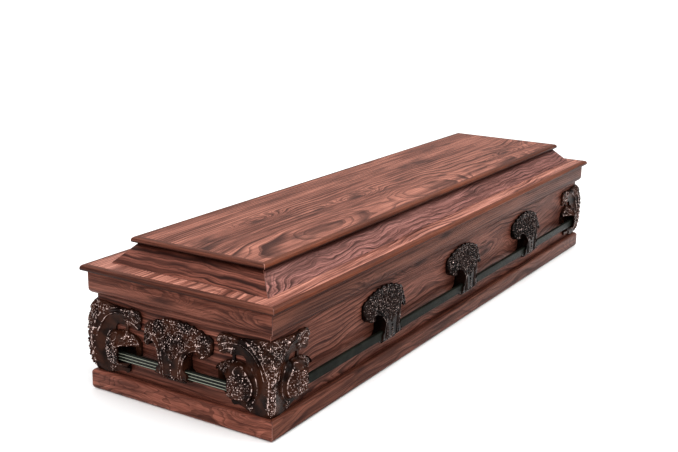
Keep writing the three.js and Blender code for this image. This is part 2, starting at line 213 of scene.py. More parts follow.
# Wood figure: growth rings cut lengthwise, streaks, fibres, pores and soft dark smudges; the grain is along X
figureNoise = dict(
    swirl=dict(detail=3, roughness=0.55),
    wander=dict(stretch=(1.5, 0.6, 0.6)),
    uneven=dict(stretch=(1.4, 5, 5)),
    ragged=dict(stretch=(20, 60, 60)),
    faint=dict(stretch=(3.4, 16, 16), low=0.36, high=0.6),
    streak=dict(stretch=(1.3, 34, 34), detail=3, roughness=0.55, low=0.37, high=0.63),
    fibre=dict(stretch=(3.5, 150, 150), detail=4, roughness=0.68, low=0.41, high=0.59),
    cloud=dict(stretch=(3.4, 11, 11), detail=3, roughness=0.6, low=0.54, high=0.76),
    pore=dict(stretch=(26, 900, 900), detail=1, low=0.57, high=0.7),
)
figureMarks = dict(
    swirlAcross=2.6, unevenRings=2.6,
    lateWood=(0.3, 0.9), faintest=0.15, slimRings=3.0, slimRange=(0.5, 0.95), slimShare=0.62,
    knotCell=(2.2, 9, 1), knotRandomness=0.9, knotRagged=0.08,
    knotReach=0.42, knotCore=(0.02, 0.13), knotRings=4.0,
)
figureInputs = {  # the group's inputs, and what a board calls them
    "Ring Spacing": "spacing", "Wander": "wander", "Swirl": "swirl", "Swirl Pace": "pace",
    "Heart Depth": "heart", "Knots": "knots",
}


def makeWoodFigure(values):
    group = bpy.data.node_groups.new("woodFigure", "ShaderNodeTree")
    addSockets(group, "INPUT", "Vector", "Vector")
    addSockets(group, "INPUT", "Float", *figureInputs)
    addSockets(group, "OUTPUT", "Float", "Ring", "Streak", "Fibre", "Cloud", "Pore", "Knot")
    ins = put(group, "NodeGroupInput").outputs
    outs = put(group, "NodeGroupOutput").inputs
    place = ins["Vector"]

    # everything is swirled a little
    spot = put(group, "ShaderNodeSeparateXYZ", {0: place}).outputs
    paceAcross = calc(group, "MULTIPLY", ins["Swirl Pace"], values["swirlAcross"])
    paced = put(group, "ShaderNodeCombineXYZ", {
        0: calc(group, "MULTIPLY", spot[0], ins["Swirl Pace"]),
        1: calc(group, "MULTIPLY", spot[1], paceAcross),
        2: calc(group, "MULTIPLY", spot[2], paceAcross),
    }).outputs[0]
    detail, roughness = figureNoise["swirl"]["detail"], figureNoise["swirl"]["roughness"]
    swirl = noise(group, paced, 1, detail, roughness).outputs["Color"]
    shift = combined(group, "SUBTRACT", swirl, (0.5, 0.5, 0.5))
    bent = put(group, "ShaderNodeVectorMath", {0: shift, "Scale": ins["Swirl"]}, operation="SCALE").outputs[0]
    moved = combined(group, "ADD", place, bent)

    # rings round the heart of the log
    spot = put(group, "ShaderNodeSeparateXYZ", {0: moved}).outputs
    wander = calc(group, "SUBTRACT", patches(group, place, figureNoise["wander"]), 0.5)
    depth = calc(group, "MULTIPLY_ADD", wander, ins["Wander"], ins["Heart Depth"])
    deep = calc(group, "ADD", spot["Z"], depth)
    squares = [calc(group, "MULTIPLY", part, part) for part in (spot["Y"], deep)]
    away = calc(group, "SQRT", calc(group, "ADD", *squares))
    rings = calc(group, "DIVIDE", away, ins["Ring Spacing"])
    uneven = calc(group, "MULTIPLY", patches(group, place, figureNoise["uneven"]), values["unevenRings"])
    count = calc(group, "ADD", rings, uneven)

    # knots: each cell may hold one, and the rings run round it
    cells = put(group, "ShaderNodeTexVoronoi", {
        "Vector": combined(group, "MULTIPLY", moved, values["knotCell"]),
        "Scale": 1.0, "Randomness": values["knotRandomness"],
    }, feature="F1", voronoi_dimensions="2D")
    pick = put(group, "ShaderNodeSeparateColor", {0: cells.outputs["Color"]}).outputs[0]
    there = calc(group, "LESS_THAN", pick, ins["Knots"])
    ragged = patches(group, place, figureNoise["ragged"])
    ragged = calc(group, "MULTIPLY_ADD", ragged, values["knotRagged"], -values["knotRagged"] / 2)
    reach = calc(group, "ADD", cells.outputs["Distance"], ragged)
    near = calc(group, "MULTIPLY", smoothRange(group, reach, 0.0, values["knotReach"], 1.0, 0.0), there)
    core = calc(group, "MULTIPLY", smoothRange(group, reach, *values["knotCore"], 1.0, 0.0), there)
    link(group, core, outs["Knot"])
    count = calc(group, "MULTIPLY_ADD", near, values["knotRings"], count)

    # each ring darkens to its late wood, and slimmer rings lie between
    part = calc(group, "FRACT", count)
    lateFrom, lateTo = values["lateWood"]
    fading = smoothRange(group, part, lateTo, 1.0, 1.0, 0.0)
    late = calc(group, "MULTIPLY", smoothRange(group, part, lateFrom, lateTo), fading)
    bold = calc(group, "MULTIPLY", late, patches(group, place, figureNoise["faint"], values["faintest"]))
    slimPart = calc(group, "FRACT", calc(group, "MULTIPLY", count, values["slimRings"]))
    slim = smoothRange(group, slimPart, *values["slimRange"], 0.0, values["slimShare"])
    link(group, calc(group, "MAXIMUM", bold, slim), outs["Ring"])

    for name in ("streak", "fibre", "cloud", "pore"):
        link(group, patches(group, moved, figureNoise[name]), outs[name.title()])
    return group


woodFigure = makeWoodFigure(figureMarks)


# Stained boards: turn is the grain's turn about each axis, and shift moves the heart of the log
stain = dict(
    light=(0.29, 0.112, 0.08), middle=(0.08, 0.023, 0.0145), dark=(0.023, 0.0055, 0.0034),
    # the first colour on the next line is the painted highlight along the edges
    edgeHighlight=(0.42, 0.19, 0.14), fibreShare=0.5, poreShare=0.4, knotShare=0.8,
    roughness=0.42, ringRoughness=0.12, shine=0.16, ringHeight=0.0002, poreHeight=0.00015, bump=0.6,
)
# some boards are darkened towards an overhang as painted shade, given as low and high heights in mm and a
# share
boardFigures = dict(
    topBoard=dict(
        turn=(0, 0, 0), shift=(0.3, 0.16, 0.0), spacing=0.0055, wander=0.06, swirl=0.009, pace=2.4,
        heart=0.05, ring=0.95, cloud=1.0, knots=0.3, tint=(1.53, 1.63, 1.6)),
    ledgeBoard=dict(
        turn=(0, 0, 0), shift=(1.3, 0.11, 0.0), spacing=0.007, wander=0.06, swirl=0.016, pace=3.4,
        heart=0.05, ring=0.9, cloud=0.3, knots=0.1, tint=(2.1, 2.5, 2.65)),
    longSlope=dict(
        turn=(90, 0, 0), shift=(1.02, 0.40, 0.03), spacing=0.005, wander=0.07, swirl=0.034, pace=3.4,
        heart=0.04, ring=0.97, cloud=0.6, knots=0.25, tint=(1.3, 1.55, 1.85), paintedShade=[(368, 387, 0.9)]),
    endSlope=dict(
        turn=(0, 0, 90), shift=(0.2, 0.03, 0.0), spacing=0.008, wander=0.08, swirl=0.03, pace=3.4,
        heart=0.03, ring=0.95, cloud=0.5, knots=0.4, tint=(0.95, 0.88, 0.85), paintedShade=[(368, 387, 0.9)]),
    longPanel=dict(
        turn=(90, 0, 0), shift=(0.45, 0.17, 0.03), spacing=0.012, wander=0.24, swirl=0.1, pace=1.7,
        heart=0.035, ring=0.85, cloud=0.35, knots=0.5, tint=(0.85, 0.88, 0.86), paintedShade=[(250, 272, 0.85)]),
    endPanel=dict(
        turn=(90, 0, 90), shift=(0.9, 0.21, 0.03), spacing=0.009, wander=0.04, swirl=0.014, pace=3.0,
        heart=0.06, ring=0.9, cloud=0.4, knots=0.2, tint=(0.9, 0.9, 0.88), paintedShade=[(250, 272, 0.85)]),
    longMoulding=dict(
        turn=(90, 0, 0), shift=(0.15, 0.28, 0.05), spacing=0.006, wander=0.03, swirl=0.008, pace=2.6,
        heart=0.07, ring=0.75, cloud=0.35, knots=0.15, tint=(0.72, 0.74, 0.68)),
    endMoulding=dict(
        turn=(90, 0, 90), shift=(1.4, 0.3, 0.05), spacing=0.006, wander=0.05, swirl=0.016, pace=4.2,
        heart=0.05, ring=0.75, cloud=0.7, knots=0.7, tint=(0.95, 0.94, 0.9)),
    longPlinth=dict(
        turn=(90, 0, 0), shift=(2.15, 0.03, 0.05), spacing=0.007, wander=0.04, swirl=0.012, pace=2.6,
        heart=0.05, ring=0.8, cloud=0.45, knots=0.3, tint=(0.78, 0.76, 0.68)),
    endPlinth=dict(
        turn=(90, 0, 90), shift=(1.9, 0.03, 0.05), spacing=0.008, wander=0.08, swirl=0.03, pace=4.2,
        heart=0.04, ring=0.8, cloud=0.7, knots=0.7, tint=(1.05, 1.0, 0.96)),
    insideFace=dict(
        turn=(0, 0, 0), shift=(0.5, 0.1, 0.1), spacing=0.012, wander=0.05, swirl=0.01, pace=2.6,
        heart=0.08, ring=0.35, cloud=0.2, knots=0.2, tint=(1.8, 2.6, 2.6)),
)
# the moulded noses are plainer and more orange, darker at the ends, and have painted shade below
noseFigure = dict(
    shift=(0.9, 0.6, 0.1), spacing=0.012, wander=0.03, swirl=0.005, pace=2.6, heart=0.2,
    ring=0.2, cloud=0.45, knots=0,
)
noseTints = dict(long=((0, 0, 0), (0.58, 0.44, 0.28)), end=((0, 0, 90), (0.66, 0.6, 0.52)))
nosePaintedShade = dict(top=[(394, 389, 0.85)], ledge=[(327, 321, 0.85)])
for board, paintedShade in nosePaintedShade.items():
    for run, (turn, tint) in noseTints.items():
        boardFigures[f"{board}Nose{run.title()}"] = dict(noseFigure, turn=turn, tint=tint, paintedShade=paintedShade)


def woodMaterial(name, values):
    material, tree, shader = newMaterial(name)
    place = put(tree, "ShaderNodeTexCoord").outputs["Object"]
    turned = put(tree, "ShaderNodeMapping", {
        "Vector": place, "Rotation": [radians(a) for a in values["turn"]],
    }, vector_type="TEXTURE").outputs[0]
    settings = {socket: values[key] for socket, key in figureInputs.items()}
    settings["Vector"] = combined(tree, "ADD", turned, values["shift"])
    figure = put(tree, "ShaderNodeGroup", settings, node_tree=woodFigure).outputs
    tones = ("light", "middle", "dark")
    shade = {key: tuple(c * t for c, t in zip(stain[key], values["tint"])) for key in tones}
    fibre = calc(tree, "MULTIPLY", figure["Fibre"], stain["fibreShare"])
    tone = calc(tree, "MULTIPLY_ADD", figure["Streak"], 1 - stain["fibreShare"], fibre)
    color = mixColor(tree, tone, shade["middle"], shade["light"])
    shares = (values["ring"], values["cloud"], stain["poreShare"], stain["knotShare"])
    for mark, share in zip(("Ring", "Cloud", "Pore", "Knot"), shares):
        color = mixColor(tree, calc(tree, "MULTIPLY", figure[mark], share), color, shade["dark"])
    level = put(tree, "ShaderNodeSeparateXYZ", {0: place}).outputs["Z"]
    for low, high, share in values.get("paintedShade", ()):  # painted shade below an overhang; heights in mm
        paintedShadeShare = smoothRange(tree, level, low * mm, high * mm, 0.0, share)
        color = mixColor(tree, paintedShadeShare, color, shade["dark"])
    link(tree, color, shader.inputs["Base Color"])
    rough = calc(tree, "MULTIPLY_ADD", figure["Ring"], stain["ringRoughness"], stain["roughness"])
    link(tree, rough, shader.inputs["Roughness"])
    shader.inputs["Specular IOR Level"].default_value = stain["shine"]
    lowered = calc(tree, "MULTIPLY", figure["Pore"], -stain["poreHeight"])
    relief = calc(tree, "MULTIPLY_ADD", figure["Ring"], -stain["ringHeight"], lowered)
    addBump(tree, shader, relief, stain["bump"])
    return material


wood = {name: woodMaterial(name, values) for name, values in boardFigures.items()}


# A thin light line painted along an edge as a highlight, stronger in some places
edgeHighlightValues = dict(
    patch=dict(scale=9, detail=3, low=0.35, high=0.65),
    sheen=dict(scale=200, low=0.3, high=0.7), roughness=(0.32, 0.5),
)


def makePaintedEdgeHighlight(values):
    material, tree, shader = newMaterial("paintedEdgeHighlight")
    place = put(tree, "ShaderNodeTexCoord").outputs["Object"]
    color = mixColor(tree, patches(tree, place, values["patch"]), stain["middle"], stain["edgeHighlight"])
    link(tree, color, shader.inputs["Base Color"])
    link(tree, patches(tree, place, values["sheen"], *values["roughness"]), shader.inputs["Roughness"])
    return material


paintedEdgeHighlight = makePaintedEdgeHighlight(edgeHighlightValues)
print("wood ready")


# Boards
boardFinish = dict(edgeRounding=0.9 * mm, edgeSegments=2, smoothAngle=32, roundingSteps=8, mitreGap=0.2 * mm)
boardCorners = ("Inner Low", "Outer Low", "Outer High", "Inner High")  # X out from the body, Y up


def makeBoardTree():
    # a section with its outer corners rounded, drawn out along the board and cut to a mitre at both ends
    tree = bpy.data.node_groups.new("mitredBoard", "GeometryNodeTree")
    addSockets(tree, "INPUT", "Vector", *boardCorners)
    addSockets(tree, "INPUT", "Float", "Half Along", "Half Across", "Mitre Gap", "Turn")
    addSockets(tree, "INPUT", "Float", "Low Rounding", "High Rounding")
    addSockets(tree, "INPUT", "Int", "Rounding Steps")
    addSockets(tree, "INPUT", "Material", "Material")
    addSockets(tree, "OUTPUT", "Geometry", "Board")
    ins = put(tree, "NodeGroupInput").outputs
    corners = {f"Point {i + 1}": ins[name] for i, name in enumerate(boardCorners)}
    outline = put(tree, "GeometryNodeCurvePrimitiveQuadrilateral", corners, mode="POINTS")
    index = put(tree, "GeometryNodeInputIndex").outputs[0]
    radii = [
        calc(tree, "MULTIPLY", calc(tree, "COMPARE", index, corner, 0.1), ins[name])
        for corner, name in ((1.0, "Low Rounding"), (2.0, "High Rounding"))
    ]
    rounded = put(tree, "GeometryNodeFilletCurve", {
        "Curve": outline.outputs[0], "Count": ins["Rounding Steps"], "Radius": calc(tree, "ADD", *radii),
    }, mode="POLY")
    section = put(tree, "GeometryNodeFillCurve", {"Curve": rounded.outputs[0]}, mode="NGONS").outputs[0]
    drawn = put(tree, "GeometryNodeExtrudeMesh", {
        "Mesh": section, "Offset": (0, 0, 1), "Individual": False,
    }, mode="FACES")
    back = put(tree, "GeometryNodeFlipFaces", {"Mesh": section}).outputs[0]
    joined = put(tree, "GeometryNodeJoinGeometry")
    link(tree, drawn.outputs["Mesh"], joined.inputs[0])
    link(tree, back, joined.inputs[0])
    closed = put(tree, "GeometryNodeMergeByDistance", {
        "Geometry": joined.outputs[0], "Distance": mergeReach,
    }).outputs[0]
    spot = put(tree, "ShaderNodeSeparateXYZ", {0: put(tree, "GeometryNodeInputPosition").outputs[0]}).outputs
    reach = calc(tree, "SUBTRACT", calc(tree, "ADD", ins["Half Along"], spot["X"]), ins["Mitre Gap"])
    along = calc(tree, "MULTIPLY", calc(tree, "MULTIPLY_ADD", spot["Z"], 2.0, -1.0), reach)
    across = calc(tree, "MULTIPLY", calc(tree, "ADD", ins["Half Across"], spot["X"]), -1.0)
    place = put(tree, "ShaderNodeCombineXYZ", {0: along, 1: across, 2: spot["Y"]}).outputs[0]
    shaped = put(tree, "GeometryNodeSetPosition", {"Geometry": closed, "Position": place}).outputs[0]
    turn = put(tree, "ShaderNodeCombineXYZ", {2: ins["Turn"]}).outputs[0]
    turned = put(tree, "GeometryNodeTransform", {"Geometry": shaped, "Rotation": turn}).outputs[0]
    finishTree(tree, turned, ins)
    return tree


def finishTree(tree, geometry, ins):
    whole = put(tree, "GeometryNodeRealizeInstances", {"Geometry": geometry}).outputs[0]
    painted = put(tree, "GeometryNodeSetMaterial", {"Geometry": whole, "Material": ins["Material"]})
    link(tree, painted.outputs[0], put(tree, "NodeGroupOutput").inputs[0])


def addModifierTree(holder, tree, values):
    modifier = holder.modifiers.new(tree.name, "NODES")
    modifier.node_group = tree
    for item in tree.interface.items_tree:
        if item.item_type == "SOCKET" and item.in_out == "INPUT" and item.name in values:
            modifier[item.identifier] = values[item.name]


def asPlainMesh(holder, name):
    # what the modifiers make, as a mesh of its own with its faces out
    bpy.context.view_layer.update()
    shaped = holder.evaluated_get(bpy.context.evaluated_depsgraph_get())
    mesh = bpy.data.meshes.new_from_object(shaped)
    bpy.data.objects.remove(holder)
    mesh.name = name
    return mesh


def linked(name, mesh):
    piece = bpy.data.objects.new(name, mesh)
    bpy.context.scene.collection.objects.link(piece)
    return piece


def facedOut(mesh):
    form = bmesh.new()
    form.from_mesh(mesh)
    bmesh.ops.remove_doubles(form, verts=form.verts, dist=mergeReach)
    bmesh.ops.recalc_face_normals(form, faces=form.faces)
    form.to_mesh(mesh)
    form.free()
    return mesh


def settle(piece, slot, *nodes):
    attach(piece, "root")
    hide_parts(*nodes)


def finishedBoard(name, mesh, slot, highlightMaterial=None):
    # soft edges, smooth round stretches, and its place in the object
    holder = linked(name, facedOut(mesh))
    edges = holder.modifiers.new("softEdges", "BEVEL")
    edges.width = boardFinish["edgeRounding"]
    edges.segments = boardFinish["edgeSegments"]
    edges.limit_method = "ANGLE"
    edges.angle_limit = radians(boardFinish["smoothAngle"])
    # the rounded edges take the painted edge highlight
    if highlightMaterial is not None:
        mesh.materials.append(highlightMaterial)
        edges.material = len(mesh.materials) - 1
    plain = asPlainMesh(holder, name)
    plain.shade_smooth()
    plain.set_sharp_from_angle(angle=radians(boardFinish["smoothAngle"]))
    settle(linked(f"{name}Dressed", plain), slot, name)


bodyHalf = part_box("base_board")[1]
sides = dict(
    front=dict(turn=0, along=bodyHalf.x, across=bodyHalf.y, run="long"),
    foot=dict(turn=-pi / 2, along=bodyHalf.y, across=bodyHalf.x, run="end"),
    back=dict(turn=pi, along=bodyHalf.x, across=bodyHalf.y, run="long"),
    head=dict(turn=pi / 2, along=bodyHalf.y, across=bodyHalf.x, run="end"),
)


def outOf(node):
    # how far a front board's faces stand out from the body's side, and its heights
    low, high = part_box(node)
    return -high.y - bodyHalf.y, -low.y - bodyHalf.y, low.z, high.z


frameBoards = dict(
    wall=dict(woodName="Panel", slot="panel_wood"),
    plinth=dict(woodName="Plinth", slot="moulding_wood", lowRounding=10 * mm, highRounding=10 * mm),
    fascia=dict(woodName="Moulding", slot="moulding_wood", lowRounding=13 * mm),
    lid_slope=dict(woodName="Slope", slot="lid_wood", lean=20 * mm),
)


def addFrameBoards(baseName, woodName, slot, lowRounding=0.0, highRounding=0.0, lean=0.0):
    inner, outer, low, high = outOf(f"{baseName}_front")
    innerLow, outerHigh = (inner, outer) if lean == 0 else (outer - lean, inner + lean)
    for side, values in sides.items():
        holder = linked(f"{baseName}Maker", bpy.data.meshes.new(baseName))
        addModifierTree(holder, boardTree, {
            "Inner Low": (innerLow, low, 0), "Outer Low": (outer, low, 0),
            "Outer High": (outerHigh, high, 0), "Inner High": (inner, high, 0),
            "Half Along": values["along"], "Half Across": values["across"], "Turn": values["turn"],
            "Low Rounding": lowRounding, "High Rounding": highRounding, "Mitre Gap": boardFinish["mitreGap"],
            "Rounding Steps": boardFinish["roundingSteps"], "Material": wood[values["run"] + woodName],
        })
        finishedBoard(f"{baseName}_{side}", asPlainMesh(holder, baseName), slot, paintedEdgeHighlight)


# Lid boards with a moulded nose: a large round above and a small one below
lidFinish = dict(smallRound=3 * mm, largeRound=9 * mm, bandWidth=15 * mm, ledgeOpening=54 * mm, steps=8)


def noseProfile(outer, low, high, values):
    small, large, steps = values["smallRound"], values["largeRound"], values["steps"]
    points = []
    for i in range(steps // 2 + 1):
        angle = -pi / 2 + (pi / 2) * i / (steps // 2)
        points.append((outer - small + small * np.cos(angle), low + small + small * np.sin(angle)))
    for i in range(steps + 1):
        angle = (pi / 2) * i / steps
        points.append((outer - large + large * np.cos(angle), high - large + large * np.sin(angle)))
    points.append((outer - values["bandWidth"], high))
    return points


def lidRings(name, profile, noseFaces, closedRing):
    # rectangles stacked along the profile; a ring joins its last one to its first
    form = bmesh.new()
    signs = [(-1, -1), (1, -1), (1, 1), (-1, 1)]
    levels = []
    for out, height in profile:
        spots = [(x * (bodyHalf.x + out), y * (bodyHalf.y + out), height) for x, y in signs]
        levels.append([form.verts.new(spot) for spot in spots])
    pairs = list(zip(levels, levels[1:]))
    if closedRing:
        pairs.append((levels[-1], levels[0]))
    for number, (a, b) in enumerate(pairs):
        for i in range(4):
            j = (i + 1) % 4
            panel = form.faces.new((a[i], a[j], b[j], b[i]))
            if number < noseFaces:
                panel.material_index = 1 + i % 2
    if not closedRing:
        form.faces.new(levels[0])
        form.faces.new(levels[-1])
    mesh = bpy.data.meshes.new(name)
    form.to_mesh(mesh)
    form.free()
    return mesh


def addLidBoard(name, woodName, values, opening=None):
    low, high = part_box(name)
    nose = noseProfile(high.x - bodyHalf.x, low.z, high.z, values)
    hole = [] if opening is None else [(-opening, high.z), (-opening, low.z)]
    mesh = lidRings(name, nose + hole, len(nose) - 1, opening is not None)
    for part in ("Board", "NoseLong", "NoseEnd"):
        mesh.materials.append(wood[woodName + part])
    finishedBoard(name, mesh, "lid_wood", paintedEdgeHighlight)


boardTree = makeBoardTree()
for name, values in frameBoards.items():
    addFrameBoards(name, **values)
addLidBoard("lid_ledge", "ledge", lidFinish, lidFinish["ledgeOpening"])
addLidBoard("lid_top", "top", lidFinish)
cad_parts["base_board"].data.materials[0] = wood["insideFace"]
print("boards made")


# Castings: the CAD form made fine, its front moved to a smooth form with leaves, scrolls and rims on it.
# Their sizes are in millimetres, and the shares in each form are parts of its reach, depth or height.
castFinish = dict(
    voxel=1.35 * mm, smoothAngle=50, keptShare=0.62, clearance=0.2, lookFrom=90.0,
    skin=3.5, skinEnd=0.4, mostChange=5.0, sinkRange=(5, 12), leastDepth=3,
)
cornerSize = dict(
    reach=150.0, depth=43.0, low=54.3, high=243.5, leastShare=0.12, turnShare=0.2, turnSteps=26, turnTo=1.3,
    column=0.66, columnHalf=0.505, armRim=(0.56, 0.2), scrollAt=0.633, scrollReach=(0.635, 0.475),
    hollow=(0.62, 0.38), floorDepth=(0.23, 0.14),
    cupAt=0.48, cupLevel=0.39, cupReach=(0.29, 0.265), cupRise=(0.62, 0.26, 0.12), cupEnd=0.347,
)
middleSize = dict(
    reach=106.0, depth=40.0, low=90.5, high=240.5, leastShare=0.1,
    canopy=(0.22, 0.74), stemHalf=0.45, stem=(0.62, 0.38), beside=0.8, canopyRange=(0.42, 0.5),
)


def ease(low, high, value):
    share = np.clip((value - low) / (high - low), 0, 1)
    return share * share * (3 - 2 * share)


def between(low, high, share):
    return low + (high - low) * share


def cornerForm(u, w, values):
    # the casting's depth as a share of its greatest; u runs from the corner, w up
    waist = np.abs((w - 0.5) / values["columnHalf"]) ** 2.5
    column = values["column"] * np.sqrt(np.maximum(0.02, 1 - waist))
    armRim = between(*values["armRim"], ease(0.5, 1, u))
    rim = between(column, armRim, ease(0.1, 0.5, u))
    beside = np.maximum(0, values["scrollAt"] - u) / values["scrollReach"][0]
    above = np.maximum(0, w - 0.5) / values["scrollReach"][1]
    scroll = np.hypot(beside, above)
    hollow = np.clip((scroll - values["hollow"][0]) / values["hollow"][1], 0, 1) ** 1.3
    floorDepth = between(*values["floorDepth"], ease(0.56, 0.64, w))
    band = between(floorDepth, rim, hollow)
    beyond = between(band, column, ease(0.98, 1.02, scroll))
    return np.maximum(np.maximum(values["leastShare"], beyond), cupForm(u, w, values))


def cupForm(u, w, values):
    beside = np.maximum(0, values["cupAt"] - u) / values["cupReach"][0]
    above = np.abs(w - values["cupLevel"]) / values["cupReach"][1]
    swell = np.maximum(0, 1 - np.hypot(beside, above) ** 3) ** 0.62
    first, second, third = values["cupRise"]
    rise = first + second * ease(0.22, 0.43, u) + third * ease(0.43, 0.65, u)
    return swell * rise * np.minimum(1, (1 - u) / values["cupEnd"])


def middleForm(share, w, values):
    t = np.abs(share)
    across = np.sqrt(np.maximum(0.05, 1 - t ** 4 / 1.2))
    canopy = (values["canopy"][0] + values["canopy"][1] * (1 - ease(0.45, 1, w))) * across
    swell = values["stem"][0] + values["stem"][1] * ease(0, 0.14, w)
    stem = np.where(t < values["stemHalf"], swell, values["beside"])
    return np.maximum(values["leastShare"], between(stem, canopy, ease(*values["canopyRange"], w)))


# A five-lobed leaf: its outline, dome and veins, and how bright each part is rubbed
leafShape = dict(
    middle=0.42, edge=0.48, lobes=5, lobeDepth=0.22, teeth=20, toothDepth=0.06, veinSlope=5, veinSpread=2.4,
    domeShare=0.8, veinShare=0.2, rimAt=0.82, rimWidth=0.14, grooveWidth=0.3,
    rubFloor=0.4, rubDome=0.3, rubVein=0.45, rubRim=1.02,
)


def leaf(x, z, spot, turn, length, values):
    # a leaf that points along turn: where its edge lies, its domed height and its veins, each 0 to 1
    a = radians(turn)
    along = ((x - spot[0]) * np.cos(a) + (z - spot[1]) * np.sin(a)) / length
    across = (-(x - spot[0]) * np.sin(a) + (z - spot[1]) * np.cos(a)) / length
    middle = along - values["middle"]
    angle = np.arctan2(across, middle)
    away = np.hypot(across, middle)
    lobes = 1 + values["lobeDepth"] * np.cos(values["lobes"] * angle)
    teeth = 1 + values["toothDepth"] * np.cos(values["teeth"] * angle)
    share = away / (values["edge"] * lobes * teeth)
    dome = np.where(share < 1, 0.5 + 0.5 * (1 - share ** 2), 0)
    beside = values["veinSlope"] * np.abs(np.sin(values["lobes"] / 2 * angle))
    vein = 1 - np.minimum(1, beside * np.clip(away * values["veinSpread"], 0.3, 1))
    return share, dome, np.where(share < 0.95, vein, 0)


def smoothPath(points, steps=14):
    # a smooth line through the points
    p = np.array([points[0], *points, points[-1]], float)
    t = np.linspace(0, 1, steps, endpoint=False)[:, None]
    parts = []
    for i in range(1, len(p) - 2):
        a, b, c, d = p[i - 1], p[i], p[i + 1], p[i + 2]
        bend = 2 * b + (c - a) * t + (2 * a - 5 * b + 4 * c - d) * t ** 2
        parts.append(0.5 * (bend + (3 * b - a - 3 * c + d) * t ** 3))
    return np.vstack([*parts, p[-2:-1]])


def ridge(x, z, path, width):
    # height from 0 to 1 of a round ridge along a path
    nearest = np.full(x.shape, 1e9)
    for a, b in zip(path, path[1:]):
        run = b - a
        share = np.clip(((x - a[0]) * run[0] + (z - a[1]) * run[1]) / max(1e-9, run @ run), 0, 1)
        nearest = np.minimum(nearest, np.hypot(x - a[0] - share * run[0], z - a[1] - share * run[1]))
    return np.sqrt(np.clip(1 - (nearest / width) ** 2, 0, 1))


def inside(x, z, outline):
    # True within a closed outline
    found = np.zeros(x.shape, bool)
    for (ax, az), (bx, bz) in zip(outline, [*outline[1:], outline[0]]):
        crosses = (az > z) != (bz > z)
        with np.errstate(divide="ignore", invalid="ignore"):
            side = x < (bx - ax) * (z - az) / (bz - az) + ax
        found ^= crosses & side
    return found


# Corner relief, in millimetres: s from the corner along each face, z up
cornerRelief = dict(
    rims=[
        [(6, 66), (8, 90), (6, 120), (6, 150), (13, 178), (21, 203), (40, 225), (73, 237), (100, 234),
         (122, 236), (146, 228)],
        [(15, 150), (20, 172), (31, 196), (48, 213), (74, 224), (98, 221), (122, 218), (144, 208)],
        [(96, 208), (122, 203), (141, 193)], [(97, 148), (112, 151), (130, 152), (147, 153)],
        [(48, 170), (36, 150), (31, 128), (34, 104), (45, 84)],
        [(56, 162), (45, 145), (40, 128), (43, 108), (54, 90)],
        [(60, 165), (70, 172), (82, 170), (84, 160), (76, 156)],
    ],
    leaves=[
        ((34, 230), 0, 20), ((14, 232), 80, 18), ((2, 218), 90, 22), ((22, 216), 40, 22),
        ((10, 200), 60, 20), ((2, 184), 90, 20), ((5, 164), 75, 16), ((4, 146), 80, 14),
        ((4, 128), 80, 14), ((4, 110), 80, 14), ((4, 92), 80, 14), ((4, 74), 80, 14),
        ((134, 224), -20, 20), ((112, 229), 0, 22), ((90, 231), 8, 22), ((120, 212), -15, 20),
        ((100, 204), -20, 20), ((90, 150), 220, 20), ((62, 144), 250, 20), ((84, 132), 280, 22),
        ((96, 110), 260, 18), ((64, 118), 260, 20), ((78, 106), 275, 20), ((48, 76), 320, 20),
        ((100, 172), -5, 20), ((118, 168), -20, 20), ((134, 160), -40, 18), ((88, 178), 60, 14),
        ((112, 158), -30, 18),
    ],
    rimHeight=3.4, rimWidth=2.7, rimRub=0.9, leafHeight=4.2, sunk=3.2,
)


def reliefAt(s, z, values):
    # the relief's height and how bright it is rubbed, below 0 in a groove, where the lacquer paints shade; a
    # leaf lies over those before it
    shape = leafShape
    height, rubAndPaintedLight = np.zeros(s.shape), np.zeros(s.shape)
    for spot, turn, length in values["leaves"]:
        share, dome, vein = leaf(s, z, spot, turn, length, shape)
        blade = share < 1
        grooveAndPaintedShade = np.where(blade, 0, np.clip(1 - (share - 1) / shape["grooveWidth"], 0, 1))
        rise = values["leafHeight"] * (shape["domeShare"] * dome + shape["veinShare"] * vein)
        height = np.where(blade, rise, height * (1 - grooveAndPaintedShade))
        rim = np.clip(1 - np.abs(share - shape["rimAt"]) / shape["rimWidth"], 0, 1)
        inner = shape["rubFloor"] + shape["rubDome"] * dome + shape["rubVein"] * vein
        bright = np.maximum(inner, shape["rubRim"] * rim)
        rubAndPaintedLight = np.where(blade, bright, rubAndPaintedLight * (1 - grooveAndPaintedShade) - grooveAndPaintedShade)
    rims = np.zeros(s.shape)
    for path in values["rims"]:
        rims = np.maximum(rims, ridge(s, z, smoothPath(path), values["rimWidth"]))
    return np.maximum(values["rimHeight"] * rims, height), np.maximum(values["rimRub"] * rims ** 2, rubAndPaintedLight)


middleRelief = dict(
    leaves=[
        ((14, 220), 80, 20), ((36, 216), 60, 20), ((58, 208), 40, 20), ((76, 200), 25, 20),
        ((0, 206), 90, 22), ((24, 204), 70, 20), ((46, 200), 50, 20), ((64, 192), 20, 20),
        ((12, 190), 80, 18), ((34, 186), 60, 20), ((0, 176), 90, 20), ((22, 170), 60, 20),
        ((10, 158), 80, 18), ((30, 152), 50, 16), ((0, 148), 90, 16), ((86, 186), -50, 20),
        ((92, 202), -10, 16), ((96, 190), -70, 14),
    ],
    rims=[
        [(35, 92), (30, 100), (33, 112), (30, 126), (34, 140), (38, 152), (44, 168), (60, 183), (80, 184),
         (90, 172)],
        [(24, 94), (24, 120), (27, 146), (35, 172), (56, 193), (80, 197), (102, 192)],
    ],
    beads=[(0, 96), (0, 103), (0, 110), (0, 117), (0, 124), (0, 131), (0, 138)],
    rimHeight=2.8, rimWidth=2.4, rimRub=0.9, leafHeight=4.2, sunk=3.2,
)


